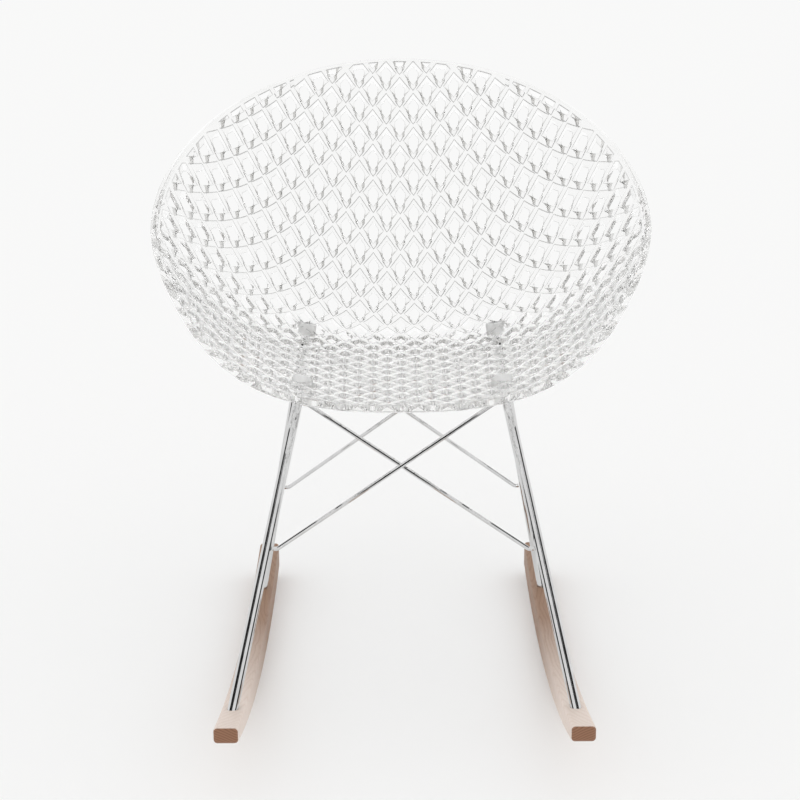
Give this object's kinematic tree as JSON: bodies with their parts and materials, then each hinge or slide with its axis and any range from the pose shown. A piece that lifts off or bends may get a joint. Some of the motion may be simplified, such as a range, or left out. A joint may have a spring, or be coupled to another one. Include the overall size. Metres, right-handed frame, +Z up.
{
  "type": "rocking chair",
  "caption": "Rocking chair with a clear lattice bucket seat on splayed chrome legs, crossed brace rods and curved wooden rockers.",
  "frame": {"origin": "the middle of the bounding box's base, on the floor between the rockers, with the chair at rest", "axes": "the seat faces -Y and its back rises towards +Y; +X is the side of the left hand of the person in it; +Z is up"},
  "size_m": [0.6192, 0.7844, 0.7298],
  "materials": {
    "clear_shell": "clear, polished, moulded",
    "leg_chrome": "polished",
    "rod_chrome": "polished",
    "screw_steel": "blackened",
    "plain_steel": "plain",
    "ash": "satin, with open grain"
  },
  "bodies": {
    "root": {"brace_rod_front_left_low": "rod_chrome", "brace_rod_front_right_low": "rod_chrome", "brace_rod_rear_left_low": "rod_chrome", "brace_rod_rear_right_low": "rod_chrome", "foot_insert_front_left": "plain_steel", "foot_insert_front_right": "plain_steel", "foot_insert_rear_left": "plain_steel", "foot_insert_rear_right": "plain_steel", "foot_screw_front_left": "screw_steel", "foot_screw_front_right": "screw_steel", "foot_screw_rear_left": "screw_steel", "foot_screw_rear_right": "screw_steel", "leg_front_left": "leg_chrome", "leg_front_right": "leg_chrome", "leg_rear_left": "leg_chrome", "leg_rear_right": "leg_chrome", "rocker_left": "ash", "rocker_right": "ash", "seat_screw_front_left": "screw_steel", "seat_screw_front_right": "screw_steel", "seat_screw_rear_left": "screw_steel", "seat_screw_rear_right": "screw_steel", "seat_shell": "clear_shell", "seat_washer_front_left": "plain_steel", "seat_washer_front_right": "plain_steel", "seat_washer_rear_left": "plain_steel", "seat_washer_rear_right": "plain_steel", "top_insert_front_left": "plain_steel", "top_insert_front_right": "plain_steel", "top_insert_rear_left": "plain_steel", "top_insert_rear_right": "plain_steel"}
  },
  "joints": []
}
